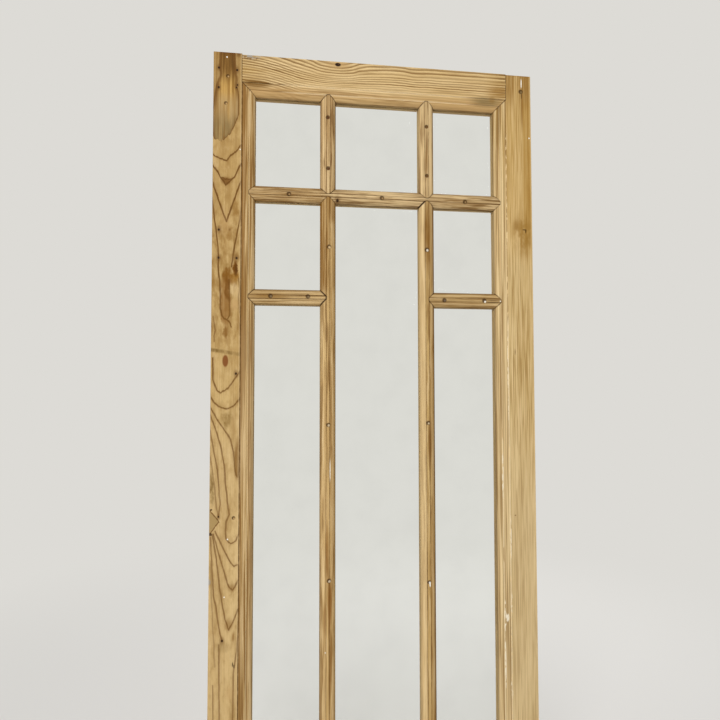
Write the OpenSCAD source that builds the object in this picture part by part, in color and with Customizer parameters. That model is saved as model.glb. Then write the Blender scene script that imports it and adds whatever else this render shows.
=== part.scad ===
// Glazed pine door leaf: two stiles, two rails, moulded glazing bars with pointed
// mitred ends, and eight panes held from behind by mitred beads.
// Millimetres. Origin at the middle of the bottom edge, +X to the right seen from the
// moulded front, -Y towards the front, +Z up.

/* [Leaf] */
// Width over both stiles
leaf_w = 762; // [680:1:920]
// Height of the leaf
leaf_h = 1981; // [1850:1:2150]
// Thickness of stiles and rails
leaf_t = 35; // [33:0.5:45]
// Chamfer that eases the long outer edges
edge_ease = 1; // [0.5:0.1:2]

/* [Stiles and rails] */
// Width of a stile, outer edge to sight edge
stile_w = 95; // [85:1:120]
// Height from the sight edge of the top rail to the top of the leaf
top_rail_h = 97; // [90:1:140]
// Height of the bottom rail, bottom edge to sight edge
bottom_rail_h = 230; // [200:1:300]
// Distance of the top rail's upper edge below the top of the left stile
top_rail_drop = 2; // [0.5:0.5:4]
// Distance of the top of the right stile below the top of the left stile
right_stile_drop = 4; // [0.5:0.5:6]

/* [Lights] */
// Clear width of the narrow lights beside the stiles
side_light_w = 150; // [110:1:180]
// Clear height of the top row of lights
top_light_h = 207; // [150:1:280]
// Clear height of the side lights under the cross bar
margin_light_h = 204; // [150:1:280]

/* [Moulding] */
// Depth from the front face to the top of the ovolo
ovolo_set = 2.2; // [1.8:0.1:3]
// Width of the ovolo next to the sight edge
ovolo_w = 13; // [10:0.5:14]
// Fall of the ovolo from its top to the sight edge
ovolo_drop = 8.5; // [6:0.5:9]
// Width of the quirk behind the ovolo
quirk_w = 1.5; // [1:0.1:2.5]
// Depth of the quirk below the top of the ovolo
quirk_depth = 0.6; // [0.4:0.1:1.5]
// Depth from the front face to the edges of the band and to the strip of a bar
strip_set = 1.2; // [1:0.1:1.6]
// Width of the rounded band outside the quirk, on stiles and rails
band_w = 15; // [10:0.5:18]
// Height of the rounded band above its own edges
band_rise = 0.8; // [0.4:0.1:0.9]
// Width of the outer quirk beside the flat face
outer_quirk_w = 1.5; // [1:0.1:3]
// Depth of the outer quirk below the front face
outer_quirk_depth = 1.9; // [1.7:0.1:3]

/* [Glazing bars] */
// Width of the flat strip along the middle of a bar
strip_w = 7; // [5:0.5:12]
// Distance of the back of a bar from the back of the leaf
bar_back_set = 2; // [0.5:0.5:3]

/* [Glazing] */
// Depth from the front face to the seat of the glass
glass_seat = 14; // [13:0.5:16]
// Width of the rebate for glass and bead
rebate_w = 12; // [10:0.5:13]
// Thickness of the glass
glass_t = 3; // [2:0.5:6]
// Play between the edge of the glass and the rebate
glass_play = 1.5; // [0.5:0.1:3]
// Radius of the rounded edge of a bead
bead_round = 7; // [3:0.5:9]

/* [Joints] */
// Play in every joint between two wooden pieces
joint_gap = 0.2; // [0.1:0.05:0.4]
// Thickness of the tenons of the rails
tenon_t = 11; // [9:0.5:13]
// Height of the top rail's edge that stays a short haunch
top_haunch_h = 40; // [25:1:50]
// Height of the bottom rail's lower edge that stays a short haunch
bottom_haunch_h = 35; // [20:1:50]
// Height of each of the two tenons of the bottom rail
bottom_tenon_h = 60; // [40:1:70]
// Length of the haunches
haunch_l = 10; // [6:1:20]
// Length of a tenon wedge
wedge_l = 45; // [30:1:50]
// Thickness of a tenon wedge at its thick end
wedge_t = 4; // [3:0.5:6]
// Length of a bar's tenon in a stile or rail
bar_tenon_l = 18; // [10:1:25]
// Length of a bar's stub tenon in another bar
bar_stub_l = 4; // [2:0.5:5]
// Thickness of a bar's tenon
bar_tenon_t = 8; // [5:0.5:10]

/* [Hinge seats] */
// Height of a hinge seat in the edge of the right stile
hinge_h = 100; // [90:1:125]
// Width of a hinge seat, from the back face
hinge_w = 30; // [26:0.5:31]
// Depth of a hinge seat
hinge_depth = 2.5; // [2.2:0.1:4]
// Distance from the top of the leaf to the upper hinge seat
upper_hinge_down = 150; // [140:1:250]
// Distance from the bottom of the leaf to the lower hinge seat
lower_hinge_up = 235; // [235:1:300]
// Radius of a screw pilot hole
screw_r = 2; // [1.5:0.1:2.5]
// Depth of a screw pilot hole below its seat
screw_depth = 25; // [15:1:35]
// Spacing of the two outer screws of a hinge
outer_screw_spacing = 76; // [66:1:80]
// Distance of the outer screws from the back face
outer_screw_in = 9; // [7:0.5:12]
// Spacing of the two inner screws of a hinge
inner_screw_spacing = 30; // [20:1:40]
// Distance of the inner screws from the back face
inner_screw_in = 20; // [17:0.5:22]

/* [Hidden] */
$fn = 64;
// Overshoot of a cutting shape past the surface that it opens
over = 1;

slope_w = ovolo_w + quirk_w;
moulding_w = slope_w + band_w + outer_quirk_w;
bar_w = strip_w + 2 * slope_w;
web_w = bar_w - 2 * rebate_w;
ovolo_r = (ovolo_w * ovolo_w + ovolo_drop * ovolo_drop) / (2 * ovolo_drop);
band_r = (band_w * band_w / 4 + band_rise * band_rise) / (2 * band_rise);
bar_tenon_set = (glass_seat + leaf_t - bar_back_set - bar_tenon_t) / 2;
bead_w = rebate_w - joint_gap;
bead_front = glass_seat + glass_t + 2 * joint_gap;
bead_back = leaf_t - bar_back_set;

// Sight edges of the stiles and rails, and middle lines of the bars
sight_x = leaf_w / 2 - stile_w;
top_sight_z = leaf_h - top_rail_h;
cross_z = top_sight_z - top_light_h - bar_w / 2;
margin_z = cross_z - bar_w - margin_light_h;
upright_x = sight_x - side_light_w - bar_w / 2;
half_bar = bar_w / 2;

// Tenons of the rails: lower end and upper end
top_tenon = [top_sight_z + rebate_w, leaf_h - top_haunch_h];
low_tenon = [bottom_haunch_h, bottom_haunch_h + bottom_tenon_h];
mid_tenon = [bottom_rail_h - rebate_w - bottom_tenon_h, bottom_rail_h - rebate_w];
RAIL_TENONS = [top_tenon, low_tenon, mid_tenon];
// Haunches of the rails, and the groove for the upper one: lower end and upper end
top_haunch = [top_sight_z + rebate_w, leaf_h - top_rail_drop];
top_groove = [top_sight_z + rebate_w, leaf_h];
bottom_haunch = [0, bottom_rail_h - rebate_w];

// Lights: name, left, right, lower and upper sight edge
LIGHTS = [
    ["top_left", -sight_x, -upright_x - half_bar, cross_z + half_bar, top_sight_z],
    ["top_middle", -upright_x + half_bar, upright_x - half_bar, cross_z + half_bar, top_sight_z],
    ["top_right", upright_x + half_bar, sight_x, cross_z + half_bar, top_sight_z],
    ["side_left", -sight_x, -upright_x - half_bar, margin_z + half_bar, cross_z - half_bar],
    ["side_right", upright_x + half_bar, sight_x, margin_z + half_bar, cross_z - half_bar],
    ["tall_left", -sight_x, -upright_x - half_bar, bottom_rail_h, margin_z - half_bar],
    ["tall_middle", -upright_x + half_bar, upright_x - half_bar, bottom_rail_h, cross_z - half_bar],
    ["tall_right", upright_x + half_bar, sight_x, bottom_rail_h, margin_z - half_bar],
];

// Beads of a light: name and turn from the lower edge
BEAD_SIDES = [["lower", 0], ["right", -90], ["upper", 180], ["left", 90]];

function glass_name(light) = str(light[0], "_glass");
function bead_name(light, side) = str(light[0], "_", side[0], "_bead");

// Sections lie with the distance from the sight edge along X and the depth from the front along Y.

// What the moulding plane takes off between the sight edge and the quirk
module slope_cut() {
    difference() {
        translate([-over, -over])
            square([ovolo_w + over, ovolo_set + ovolo_drop + over]);
        translate([ovolo_w, ovolo_set + ovolo_r])
            circle(r = ovolo_r);
    }
    translate([ovolo_w, -over])
        square([quirk_w, ovolo_set + quirk_depth + over]);
}

// What is taken off outside the quirk: a low rounded band and the outer quirk
module band_cut() {
    difference() {
        translate([slope_w, -over])
            square([band_w, strip_set + over]);
        translate([slope_w + band_w / 2, strip_set - band_rise + band_r])
            circle(r = band_r);
    }
    translate([slope_w + band_w, -over])
        square([outer_quirk_w, outer_quirk_depth + over]);
}

module rebate_cut() {
    translate([-over, glass_seat])
        square([rebate_w + over, leaf_t - glass_seat + over]);
}

// A small triangle off an outer corner
module ease_cut() {
    polygon([[-edge_ease, 0], [0, 0], [0, edge_ease]]);
}

module frame_section(width) {
    difference() {
        square([width, leaf_t]);
        slope_cut();
        band_cut();
        rebate_cut();
        translate([width, 0])
            ease_cut();
        translate([width, leaf_t])
            mirror([0, 1])
                ease_cut();
    }
}

module bar_section() {
    difference() {
        translate([-half_bar, strip_set])
            square([bar_w, bead_back - strip_set]);
        for (side = [0, 1])
            mirror([side, 0])
                translate([-half_bar, 0]) {
                    slope_cut();
                    rebate_cut();
                }
    }
}

module bead_section() {
    difference() {
        translate([-bead_w, bead_front])
            square([bead_w, bead_back - bead_front]);
        difference() {
            translate([-bead_round, bead_back - bead_round])
                square([bead_round + over, bead_round + over]);
            translate([-bead_round, bead_back - bead_round])
                circle(r = bead_round);
        }
    }
}

// A section drawn out level, centred on X, with its width turned upright
module level_length(length) {
    rotate([0, -90, 0])
        linear_extrude(length, center = true)
            children();
}

// An outline seen from the front, given a depth from one distance behind the front face to another
module depth_range(from, to) {
    translate([0, to, 0])
        rotate([90, 0, 0])
            linear_extrude(to - from)
                children();
}

// Moves the front face from Y = 0 to its place in the leaf
module in_leaf() {
    translate([0, -leaf_t / 2, 0])
        children();
}

// Front outline of a rail, with its moulding mitred at both ends
module rail_outline(height) {
    sight_half = sight_x - joint_gap;
    face_half = sight_half + moulding_w;
    polygon([
        [-sight_half, 0], [-face_half, moulding_w], [-face_half, height],
        [face_half, height], [face_half, moulding_w], [sight_half, 0],
    ]);
}

// A rail with its sight edge at Z = 0 and its body above, without tenons
module rail_body(height) {
    intersection() {
        level_length(2 * (sight_x + moulding_w))
            frame_section(height);
        union() {
            depth_range(-over, glass_seat)
                rail_outline(height);
            back_half = sight_x + rebate_w - joint_gap;
            translate([-back_half, glass_seat, 0])
                cube([2 * back_half, leaf_t - glass_seat + over, height]);
        }
    }
}

// A level block through the leaf between two heights, as thick as a tenon
module tenon_block(half_length, span) {
    translate([-half_length, glass_seat, span[0]])
        cube([2 * half_length, tenon_t, span[1] - span[0]]);
}

// Front outline of a bar whose sight edges are a span apart: pointed ends with a blunt tip
module bar_outline(span) {
    sight_half = span / 2 - joint_gap;
    tip_half = sight_half + slope_w;
    polygon([
        [-tip_half, -strip_w / 2], [-sight_half, -half_bar],
        [sight_half, -half_bar], [tip_half, -strip_w / 2],
        [tip_half, strip_w / 2], [sight_half, half_bar],
        [-sight_half, half_bar], [-tip_half, strip_w / 2],
    ]);
}

// A level bar between two sight edges, with a tenon of a given length at each end
module bar(span, left_tenon, right_tenon) {
    web_half = span / 2 + rebate_w - joint_gap;
    intersection() {
        level_length(2 * web_half + 2 * max(left_tenon, right_tenon, slope_w))
            bar_section();
        union() {
            depth_range(-over, glass_seat)
                bar_outline(span);
            translate([-web_half, glass_seat, -half_bar])
                cube([2 * web_half, leaf_t, bar_w]);
            translate([-web_half - left_tenon, bar_tenon_set, -half_bar])
                cube([2 * web_half + left_tenon + right_tenon, bar_tenon_t, bar_w]);
        }
    }
}

// The notch and mortise that take a bar's end; the sight edge is at X = 0, the wood towards +X
module bar_seat(tenon_l) {
    depth_range(-over, glass_seat)
        polygon([
            [-over, -half_bar - joint_gap - over], [slope_w, -strip_w / 2 - joint_gap],
            [slope_w, strip_w / 2 + joint_gap], [-over, half_bar + joint_gap + over],
        ]);
    translate([rebate_w - over, bar_tenon_set - joint_gap, -web_w / 2 - joint_gap])
        cube([tenon_l + over, bar_tenon_t + 2 * joint_gap, web_w + 2 * joint_gap]);
}

// Mortise through the right stile, flared at the outer edge for two wedges
module mortise(span) {
    low = span[0] - joint_gap;
    high = span[1] + joint_gap;
    outer = leaf_w / 2;
    depth_range(glass_seat - joint_gap, glass_seat + tenon_t + joint_gap)
        polygon([
            [sight_x + rebate_w - over, low], [outer - wedge_l, low],
            [outer, low - wedge_t], [outer + over, low - wedge_t],
            [outer + over, high + wedge_t], [outer, high + wedge_t],
            [outer - wedge_l, high], [sight_x + rebate_w - over, high],
        ]);
}

module haunch_groove(span) {
    translate([sight_x + rebate_w - over, glass_seat - joint_gap, span[0] - joint_gap])
        cube([haunch_l + over, tenon_t + 2 * joint_gap, span[1] - span[0] + 2 * joint_gap]);
}

// Room for the face of a rail: the stile's moulding is cut back above the mitre
module rail_seat(height) {
    depth_range(-over, glass_seat)
        polygon([
            [sight_x - over, -over], [sight_x + moulding_w, moulding_w],
            [sight_x + moulding_w, height + over], [sight_x - over, height + over],
        ]);
}

// Right-hand stile without its hinge seats
module stile() {
    difference() {
        translate([sight_x, 0, 0])
            linear_extrude(leaf_h)
                frame_section(stile_w);
        translate([0, 0, top_sight_z])
            rail_seat(top_rail_h);
        translate([0, 0, bottom_rail_h])
            mirror([0, 0, 1])
                rail_seat(bottom_rail_h);
        for (span = RAIL_TENONS)
            mortise(span);
        for (span = [top_groove, bottom_haunch])
            haunch_groove(span);
        for (z = [cross_z, margin_z])
            translate([sight_x, 0, z])
                bar_seat(bar_tenon_l);
    }
}

// Seat and pilot holes of one hinge, centred on a height
module hinge_seat(z) {
    seat_x = leaf_w / 2 - hinge_depth;
    translate([seat_x, leaf_t - hinge_w, z - hinge_h / 2])
        cube([hinge_depth + over, hinge_w + over, hinge_h]);
    for (side = [-1, 1]) {
        pilot_hole(seat_x, outer_screw_in, z + side * outer_screw_spacing / 2);
        pilot_hole(seat_x, inner_screw_in, z + side * inner_screw_spacing / 2);
    }
}

module pilot_hole(seat_x, in_from_back, z) {
    translate([seat_x - screw_depth, leaf_t - in_from_back, z])
        rotate([0, 90, 0])
            cylinder(r = screw_r, h = screw_depth + over);
}

module left_stile() {
    color("burlywood")
        in_leaf()
            mirror([1, 0, 0])
                stile();
}

module right_stile() {
    color("burlywood")
        in_leaf()
            difference() {
                stile();
                hinge_seat(leaf_h - upper_hinge_down - hinge_h / 2);
                hinge_seat(lower_hinge_up + hinge_h / 2);
                translate([sight_x - over, -over, leaf_h - right_stile_drop])
                    cube([stile_w + 2 * over, leaf_t + 2 * over, right_stile_drop + over]);
            }
}

module top_rail() {
    color("tan")
        in_leaf()
            difference() {
                union() {
                    translate([0, 0, top_sight_z])
                        rail_body(top_rail_h - top_rail_drop);
                    tenon_block(leaf_w / 2, top_tenon);
                    tenon_block(sight_x + rebate_w + haunch_l - joint_gap, top_haunch);
                }
                for (side = [-1, 1])
                    translate([side * upright_x, 0, top_sight_z])
                        rotate([0, -90, 0])
                            bar_seat(bar_tenon_l);
            }
}

module bottom_rail() {
    color("tan")
        in_leaf()
            difference() {
                union() {
                    translate([0, 0, bottom_rail_h])
                        mirror([0, 0, 1])
                            rail_body(bottom_rail_h);
                    tenon_block(leaf_w / 2, low_tenon);
                    tenon_block(leaf_w / 2, mid_tenon);
                    tenon_block(sight_x + rebate_w + haunch_l - joint_gap, bottom_haunch);
                }
                for (side = [-1, 1])
                    translate([side * upright_x, 0, bottom_rail_h])
                        rotate([0, 90, 0])
                            bar_seat(bar_tenon_l);
            }
}

// A wedge above a tenon's edge at a height, in the right stile; below it when turned over
module wedge() {
    outer = leaf_w / 2;
    play = joint_gap / 2;
    depth_range(glass_seat, glass_seat + tenon_t)
        polygon([
            [outer, play], [outer, wedge_t],
            [outer - wedge_l * (1 - play / wedge_t), play],
        ]);
}

module tenon_wedges() {
    color("peru")
        in_leaf()
            for (hand = [0, 1])
                mirror([hand, 0, 0])
                    for (span = RAIL_TENONS) {
                        translate([0, 0, span[1]])
                            wedge();
                        translate([0, 0, span[0]])
                            mirror([0, 0, 1])
                                wedge();
                    }
}

module cross_bar() {
    color("wheat")
        in_leaf()
            translate([0, 0, cross_z])
                difference() {
                    bar(2 * sight_x, bar_tenon_l, bar_tenon_l);
                    for (side = [-1, 1])
                        translate([side * upright_x, 0, 0])
                            for (turn = [90, -90])
                                rotate([0, turn, 0])
                                    translate([-half_bar, 0, 0])
                                        bar_seat(bar_stub_l);
                }
}

// An upright bar between two heights, its upper end first when laid level from the left
module upright(side, low, high, upper_tenon, lower_tenon) {
    translate([side * upright_x, 0, (low + high) / 2])
        rotate([0, 90, 0])
            bar(high - low, upper_tenon, lower_tenon);
}

module upper_bar(side) {
    color("wheat")
        in_leaf()
            upright(side, cross_z + half_bar, top_sight_z, bar_tenon_l, bar_stub_l);
}

module lower_bar(side) {
    color("wheat")
        in_leaf()
            difference() {
                upright(side, bottom_rail_h, cross_z - half_bar, bar_stub_l, bar_tenon_l);
                translate([side * (upright_x + half_bar), 0, margin_z])
                    rotate([0, 90 + 90 * side, 0])
                        bar_seat(bar_stub_l);
            }
}

module upper_left_bar() {
    upper_bar(-1);
}

module upper_right_bar() {
    upper_bar(1);
}

module lower_left_bar() {
    lower_bar(-1);
}

module lower_right_bar() {
    lower_bar(1);
}

// Left-hand margin bar, from the stile to the long upright
module margin_bar() {
    color("wheat")
        in_leaf()
            translate([-sight_x + side_light_w / 2, 0, margin_z])
                bar(side_light_w, bar_tenon_l, bar_stub_l);
}

module left_margin_bar() {
    margin_bar();
}

module right_margin_bar() {
    mirror([1, 0, 0])
        margin_bar();
}

module glass(light) {
    reach = rebate_w - glass_play;
    color("azure", 0.35)
        in_leaf()
            translate([light[1] - reach, glass_seat + joint_gap, light[3] - reach])
                cube([light[2] - light[1] + 2 * reach, glass_t, light[4] - light[3] + 2 * reach]);
}

// Front outline of a bead along a sight edge of a given length, mitred at both ends
module bead_outline(length) {
    half = length / 2 - joint_gap;
    polygon([
        [-half - bead_w, -bead_w], [half + bead_w, -bead_w],
        [half, 0], [-half, 0],
    ]);
}

// A bead along a lower sight edge at Z = 0, in the rebate below it
module bead_length(length) {
    intersection() {
        level_length(length + 2 * rebate_w)
            bead_section();
        depth_range(bead_front - over, bead_back + over)
            bead_outline(length);
    }
}

module bead(light, side) {
    width = light[2] - light[1];
    height = light[4] - light[3];
    upright_bead = abs(side[1]) == 90;
    length = upright_bead ? height : width;
    across = upright_bead ? width : height;
    color("tan")
        in_leaf()
            translate([(light[1] + light[2]) / 2, 0, (light[3] + light[4]) / 2])
                rotate([0, side[1], 0])
                    translate([0, 0, -across / 2])
                        bead_length(length);
}

left_stile();
right_stile();
top_rail();
bottom_rail();
tenon_wedges();
cross_bar();
upper_left_bar();
upper_right_bar();
lower_left_bar();
lower_right_bar();
left_margin_bar();
right_margin_bar();
for (light = LIGHTS) {
    glass(light);
    for (side = BEAD_SIDES)
        bead(light, side);
}
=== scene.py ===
import math

import bpy
from mathutils import Matrix, Vector


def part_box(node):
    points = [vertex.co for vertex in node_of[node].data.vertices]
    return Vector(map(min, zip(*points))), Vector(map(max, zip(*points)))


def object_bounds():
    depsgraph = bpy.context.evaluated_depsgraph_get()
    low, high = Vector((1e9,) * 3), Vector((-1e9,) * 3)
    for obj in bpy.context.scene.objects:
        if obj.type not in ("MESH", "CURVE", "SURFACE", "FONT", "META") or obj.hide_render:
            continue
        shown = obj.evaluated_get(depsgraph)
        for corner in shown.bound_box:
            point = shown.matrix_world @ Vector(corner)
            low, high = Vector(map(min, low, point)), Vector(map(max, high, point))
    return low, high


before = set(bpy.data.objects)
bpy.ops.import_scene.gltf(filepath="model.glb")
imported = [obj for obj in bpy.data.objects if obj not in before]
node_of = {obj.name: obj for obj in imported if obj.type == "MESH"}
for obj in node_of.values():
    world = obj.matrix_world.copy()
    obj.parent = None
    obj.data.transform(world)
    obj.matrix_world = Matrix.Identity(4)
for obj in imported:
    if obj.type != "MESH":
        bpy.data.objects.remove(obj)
cad_low, cad_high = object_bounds()

MM = 0.001

# Places on the door, in metres, read from the CAD pieces
FRONT = cad_low.y
LEAF_W = cad_high.x - cad_low.x
LEAF_H = cad_high.z
SIGHT_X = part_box("right_stile")[0].x
TOP_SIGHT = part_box("top_rail")[0].z
BOTTOM_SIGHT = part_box("bottom_rail")[1].z
CROSS_LOW, CROSS_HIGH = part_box("cross_bar")
CROSS_Z = (CROSS_LOW.z + CROSS_HIGH.z) / 2
HALF_BAR = (CROSS_HIGH.z - CROSS_LOW.z) / 2
MARGIN_Z = (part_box("left_margin_bar")[0].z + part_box("left_margin_bar")[1].z) / 2
UPRIGHT_X = (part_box("upper_right_bar")[0].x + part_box("upper_right_bar")[1].x) / 2

# The moulding, in distances from the sight edge
OVOLO = 13 * MM
QUIRK = 14.5 * MM
BAND = 29.5 * MM
MOULDING = 31 * MM
STRIP = HALF_BAR - QUIRK
INNER_QUIRK = (OVOLO + QUIRK) / 2
OUTER_QUIRK = (BAND + MOULDING) / 2

# How far behind the face the front's dirt and marks reach
FRONT_DEPTH = 13 * MM
MARK_DEPTH = 18 * MM

# How far a step along x or z leads away from a line at 45 degrees
DIAGONAL = math.sqrt(0.5)


def srgb(red, green, blue):
    """A colour as seen on screen, from 0 to 255, as the linear colour that a shader takes."""
    linear = []
    for level in (red, green, blue):
        level = level / 255
        linear.append(level / 12.92 if level < 0.04045 else ((level + 0.055) / 1.055) ** 2.4)
    return (*linear, 1.0)


# Colours of the stripped pine and of what has got onto it; the two darkest browns also serve as painted
# shade and painted shadow
PALE_PINE = srgb(222, 194, 146)
HONEY_PINE = srgb(208, 166, 94)
TAN_PINE = srgb(186, 150, 98)
LATEWOOD = srgb(132, 92, 40)
DEEP_LATEWOOD_AND_SHADE = srgb(102, 66, 24)
HEARTWOOD = srgb(141, 102, 44)
GREY_BROWN = srgb(130, 108, 68)
GREY_GREEN = srgb(124, 97, 50)
DIRT_AND_SHADOW_BROWN = srgb(62, 37, 11)
ORANGE_STAIN = srgb(118, 72, 12)
OCHRE = srgb(166, 128, 62)
RED_KNOT = srgb(126, 74, 34)
NAIL_BLACK = srgb(44, 24, 9)
OLD_PAINT = srgb(240, 234, 220)
CREAM_FILLER = srgb(206, 186, 150)
WEATHERED = srgb(158, 152, 142)
BACKDROP = srgb(221, 219, 214)


class Shade:
    """A value in a material's node tree, so that a pattern reads as a formula."""

    def __init__(self, tree, socket):
        self.tree = tree
        self.socket = socket

    def __add__(self, other):
        return calc(self.tree, "ADD", self, other)

    def __sub__(self, other):
        return calc(self.tree, "SUBTRACT", self, other)

    def __rsub__(self, other):
        return calc(self.tree, "SUBTRACT", other, self)

    def __mul__(self, other):
        return calc(self.tree, "MULTIPLY", self, other)

    def __truediv__(self, other):
        return calc(self.tree, "DIVIDE", self, other)

    def __pow__(self, other):
        return calc(self.tree, "POWER", self, other)

    def __abs__(self):
        return calc(self.tree, "ABSOLUTE", self)

    def most(self, other):
        """The higher of two values."""
        return calc(self.tree, "MAXIMUM", self, other)

    def least(self, other):
        """The lower of two values."""
        return calc(self.tree, "MINIMUM", self, other)

    def whole(self):
        """The whole number below the value."""
        return calc(self.tree, "FLOOR", self)

    def part(self):
        """What the value has beyond its whole number."""
        return calc(self.tree, "FRACT", self)

    def ramp(self, start, end, low=0.0, high=1.0, smooth=True):
        """Goes from low to high as the value goes from start to end, and stays there."""
        node = self.tree.nodes.new("ShaderNodeMapRange")
        node.interpolation_type = "SMOOTHSTEP" if smooth else "LINEAR"
        node.clamp = False
        feed(self.tree, node.inputs["Value"], self)
        values = (("From Min", start), ("From Max", end), ("To Min", low), ("To Max", high))
        for name, value in values:
            node.inputs[name].default_value = value
        result = Shade(self.tree, node.outputs["Result"])
        return result if smooth else result.most(min(low, high)).least(max(low, high))

    def near(self, middle, half, soft):
        """1 within half of the middle, and 0 beyond a soft edge."""
        return abs(self - middle).ramp(half, half + soft, 1.0, 0.0)

    def curve(self, points):
        """Follows a smooth run through points in millimetres, given from low to high."""
        starts = [p[0] for p in points]
        values = [p[1] for p in points]
        low, high = min(values), max(values)
        node = self.tree.nodes.new("ShaderNodeFloatCurve")
        drawn = node.mapping.curves[0]
        for i, (at, value) in enumerate(points):
            place = ((at - starts[0]) / (starts[-1] - starts[0]), (value - low) / (high - low))
            if i == 0:
                drawn.points[0].location = place
            elif i == len(points) - 1:
                drawn.points[len(drawn.points) - 1].location = place
            else:
                drawn.points.new(*place)
        for point in drawn.points:
            point.handle_type = "AUTO_CLAMPED"
        node.mapping.update()
        share = self.ramp(starts[0] * MM, starts[-1] * MM, smooth=False)
        feed(self.tree, node.inputs["Value"], share)
        return Shade(self.tree, node.outputs["Value"]) * ((high - low) * MM) + low * MM


def feed(tree, socket, value):
    """Links a value to a socket, or writes a plain number or colour there."""
    if isinstance(value, Shade):
        tree.links.new(value.socket, socket)
    else:
        socket.default_value = value


def calc(tree, operation, *values):
    """One step of arithmetic on shades or numbers."""
    node = tree.nodes.new("ShaderNodeMath")
    node.operation = operation
    for socket, value in zip(node.inputs, values):
        feed(tree, socket, value)
    return Shade(tree, node.outputs["Value"])


def vector_calc(tree, operation, *values):
    """One step of arithmetic on places, which gives a place or a number."""
    node = tree.nodes.new("ShaderNodeVectorMath")
    node.operation = operation
    for socket, value in zip(node.inputs, values):
        feed(tree, socket, value)
    is_number = operation in ("DOT_PRODUCT", "DISTANCE", "LENGTH")
    return Shade(tree, node.outputs["Value" if is_number else "Vector"])


def stretched(tree, span, share):
    """A fixed vector made shorter by a share."""
    node = tree.nodes.new("ShaderNodeVectorMath")
    node.operation = "SCALE"
    node.inputs[0].default_value = span
    feed(tree, node.inputs["Scale"], share)
    return Shade(tree, node.outputs["Vector"])


def triple(tree, x, y, z):
    """A place made of three shades or numbers."""
    node = tree.nodes.new("ShaderNodeCombineXYZ")
    for socket, value in zip(node.inputs, (x, y, z)):
        feed(tree, socket, value)
    return Shade(tree, node.outputs["Vector"])


def blended(tree, first, second, share):
    """The first colour turning into the second."""
    node = tree.nodes.new("ShaderNodeMix")
    node.data_type = "RGBA"
    feed(tree, node.inputs[0], share)
    feed(tree, node.inputs[6], first)
    feed(tree, node.inputs[7], second)
    return Shade(tree, node.outputs[2])


def strongest(masks):
    """The highest of several shares at each place."""
    highest = None
    for mask in masks:
        highest = mask if highest is None else highest.most(mask)
    return highest


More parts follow.
